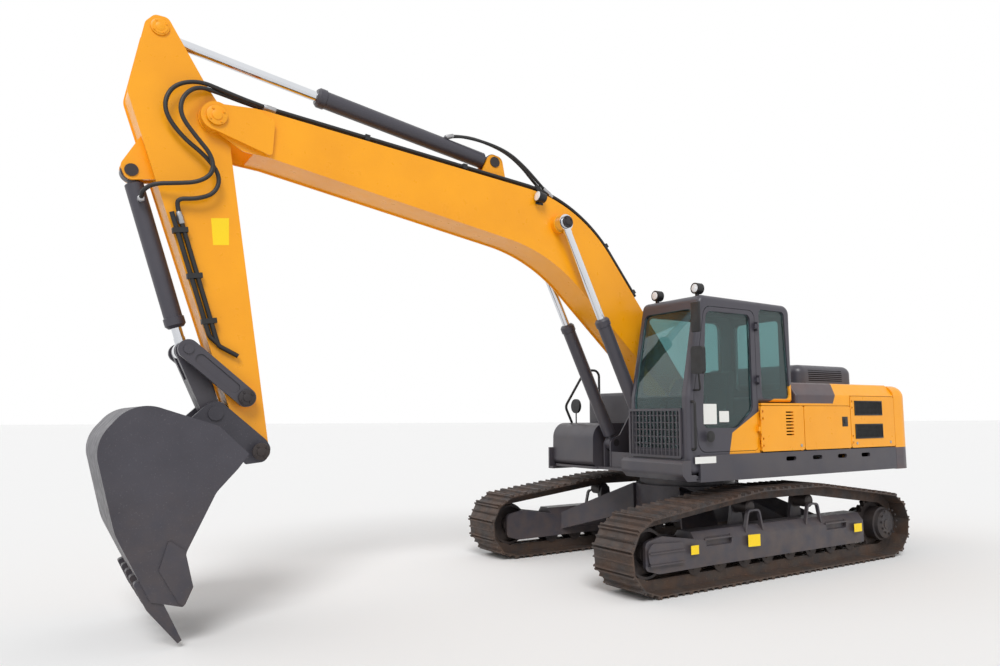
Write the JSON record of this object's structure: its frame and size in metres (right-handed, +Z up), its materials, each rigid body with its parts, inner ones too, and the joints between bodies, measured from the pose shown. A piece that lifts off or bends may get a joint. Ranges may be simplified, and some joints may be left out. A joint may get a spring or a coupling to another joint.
{
  "type": "crawler excavator",
  "caption": "Crawler excavator: tracked undercarriage, slewing upper body with cab, and a boom, arm and bucket worked by hydraulic cylinders.",
  "frame": {"origin": "middle of the base of the whole machine, on the ground", "axes": "+X forward along the machine towards the bucket, +Y to the operator's left, +Z up"},
  "size_m": [9.6843, 3.215, 5.2389],
  "materials": {
    "yellow_paint": "gloss enamel, golden yellow",
    "grey_paint": "satin enamel, slate grey",
    "chrome_rod": "polished",
    "track_steel": "worn rolled steel with brown rust",
    "cast_steel": "worn steel",
    "tinted_glass": "tinted",
    "black_trim": "black"
  },
  "bodies": {
    "undercarriage": {"car_body": "grey_paint", "track_frame_left": "grey_paint", "track_frame_right": "grey_paint", "track_left": "track_steel", "track_right": "track_steel", "idler_wheels": "cast_steel", "sprockets": "cast_steel", "track_rollers": "cast_steel", "carrier_rollers": "cast_steel", "ring_inner_race": "grey_paint"},
    "upper": {"ring_outer_race": "grey_paint", "revolving_frame": "grey_paint", "side_skirts": "grey_paint", "counterweight": "yellow_paint", "left_house": "yellow_paint", "right_house": "yellow_paint", "body_roof": "yellow_paint", "deck_cover": "grey_paint", "engine_block": "grey_paint", "radiator_block": "grey_paint", "fuel_tank": "yellow_paint", "hydraulic_tank": "yellow_paint", "tool_box": "yellow_paint", "handrails": "black_trim", "mirrors": "black_trim", "cab_shell": "grey_paint", "cab_glass": "tinted_glass", "cab_lamps": "black_trim", "seat": "black_trim", "frame_pins": "cast_steel", "cab_guard": "grey_paint"},
    "cab_door": {"cab_door": "grey_paint", "cab_door_glass": "tinted_glass"},
    "louvre_door": {"louvre_door": "yellow_paint"},
    "grille_door": {"grille_door": "yellow_paint"},
    "pump_door": {"pump_door": "yellow_paint"},
    "engine_hood": {"engine_hood": "grey_paint"},
    "boom": {"boom": "yellow_paint", "boom_pins": "cast_steel", "boom_pipes": "black_trim"},
    "boom_barrel_left": {"boom_barrel_left": "grey_paint"},
    "boom_rod_left": {"boom_rod_left": "chrome_rod"},
    "boom_barrel_right": {"boom_barrel_right": "grey_paint"},
    "boom_rod_right": {"boom_rod_right": "chrome_rod"},
    "arm": {"arm": "yellow_paint", "arm_pins": "cast_steel", "arm_pipes": "black_trim"},
    "arm_barrel": {"arm_barrel": "grey_paint"},
    "arm_rod": {"arm_rod": "chrome_rod"},
    "bucket_barrel": {"bucket_barrel": "grey_paint"},
    "bucket_rod": {"bucket_rod": "chrome_rod"},
    "rocker": {"rocker_links": "grey_paint"},
    "connecting_link": {"connecting_link": "grey_paint"},
    "bucket": {"bucket": "grey_paint", "bucket_teeth": "cast_steel"}
  },
  "joints": [
    {"name": "swing", "type": "hinge", "parent": "undercarriage", "child": "upper", "pos_m": [-1.80217, 0, 1.05], "axis": [0, 0, 1], "continuous": true},
    {"name": "cab_door_open", "type": "hinge", "parent": "upper", "child": "cab_door", "pos_m": [-1.58017, 1.425, 2.1], "axis": [0, 0, 1], "range_deg": [0, 165]},
    {"name": "louvre_door_open", "type": "hinge", "parent": "upper", "child": "louvre_door", "pos_m": [-1.59417, 1.415, 1.6], "axis": [0, 0, 1], "range_deg": [-90, 0]},
    {"name": "grille_door_open", "type": "hinge", "parent": "upper", "child": "grille_door", "pos_m": [-3.25717, 1.415, 1.6], "axis": [0, 0, -1], "range_deg": [0, 110]},
    {"name": "pump_door_open", "type": "hinge", "parent": "upper", "child": "pump_door", "pos_m": [-2.85817, -1.415, 1.6], "axis": [0, 0, 1], "range_deg": [0, 110]},
    {"name": "engine_hood_open", "type": "hinge", "parent": "upper", "child": "engine_hood", "pos_m": [-2.99817, 0, 2.156], "axis": [0, 1, 0], "range_deg": [0, 60]},
    {"name": "boom_lift", "type": "hinge", "parent": "upper", "child": "boom", "pos_m": [-1.47217, 0, 2.06], "axis": [0, -1, 0], "range_deg": [-65, 30]},
    {"name": "arm_reach", "type": "hinge", "parent": "boom", "child": "arm", "pos_m": [4.05577, 0, 4.40306], "axis": [0, -1, 0], "range_deg": [-20, 84]},
    {"name": "bucket_curl", "type": "hinge", "parent": "arm", "child": "bucket", "pos_m": [3.57354, 0, 1.45828], "axis": [0, 1, 0], "range_deg": [-3, 150]},
    {"name": "boom_barrel_left_turn", "type": "hinge", "parent": "upper", "child": "boom_barrel_left", "pos_m": [-0.87217, 0.345, 1.42], "axis": [0, -1, 0], "range_deg": [-63.63, 29.38]},
    {"name": "boom_rod_left_slide", "type": "slide", "parent": "boom_barrel_left", "child": "boom_rod_left", "axis": [0.4369, 0, 0.8995], "range_m": [-0.902, 0.4166]},
    {"name": "boom_barrel_right_turn", "type": "hinge", "parent": "upper", "child": "boom_barrel_right", "pos_m": [-0.87217, -0.345, 1.42], "axis": [0, -1, 0], "range_deg": [-63.63, 29.38]},
    {"name": "boom_rod_right_slide", "type": "slide", "parent": "boom_barrel_right", "child": "boom_rod_right", "axis": [0.4369, 0, 0.8995], "range_m": [-0.902, 0.4166]},
    {"name": "arm_barrel_turn", "type": "hinge", "parent": "boom", "child": "arm_barrel", "pos_m": [1.10965, 0, 4.57606], "axis": [0, -1, 0], "range_deg": [-1.12, 4.64]},
    {"name": "arm_rod_slide", "type": "slide", "parent": "arm_barrel", "child": "arm_rod", "axis": [0.987, 0, 0.1609], "range_m": [-1.1223, 0.2676]},
    {"name": "bucket_barrel_turn", "type": "hinge", "parent": "arm", "child": "bucket_barrel", "pos_m": [4.67793, 0, 3.85227], "axis": [0, 1, 0], "range_deg": [-4.33, 0.11]},
    {"name": "bucket_rod_slide", "type": "slide", "parent": "bucket_barrel", "child": "bucket_rod", "axis": [-0.304, 0, -0.9527], "range_m": [-0.0219, 1.0685]},
    {"name": "rocker_turn", "type": "hinge", "parent": "arm", "child": "rocker", "pos_m": [3.70998, 0, 1.92638], "axis": [0, 1, 0], "range_deg": [-2.37, 117.65]},
    {"name": "link_turn", "type": "hinge", "parent": "rocker", "child": "connecting_link", "pos_m": [4.19259, 0, 2.33134], "axis": [0, 1, 0], "range_deg": [-94.21, 1.9]}
  ],
  "couplings": [
    {"joint": "boom_barrel_left_turn", "follows": "boom_lift", "ratio": 0.97865},
    {"joint": "boom_rod_left_slide", "follows": "boom_lift", "m_per_rad": 0.79464},
    {"joint": "boom_barrel_right_turn", "follows": "boom_lift", "ratio": 0.97865},
    {"joint": "boom_rod_right_slide", "follows": "boom_lift", "m_per_rad": 0.79464},
    {"joint": "arm_barrel_turn", "follows": "arm_reach", "ratio": 0.05501},
    {"joint": "arm_rod_slide", "follows": "arm_reach", "m_per_rad": -0.76518},
    {"joint": "bucket_barrel_turn", "follows": "bucket_curl", "ratio": -0.02877},
    {"joint": "bucket_rod_slide", "follows": "bucket_curl", "m_per_rad": 0.40795},
    {"joint": "rocker_turn", "follows": "bucket_curl", "ratio": 0.7842},
    {"joint": "link_turn", "follows": "bucket_curl", "ratio": -0.62796}
  ]
}
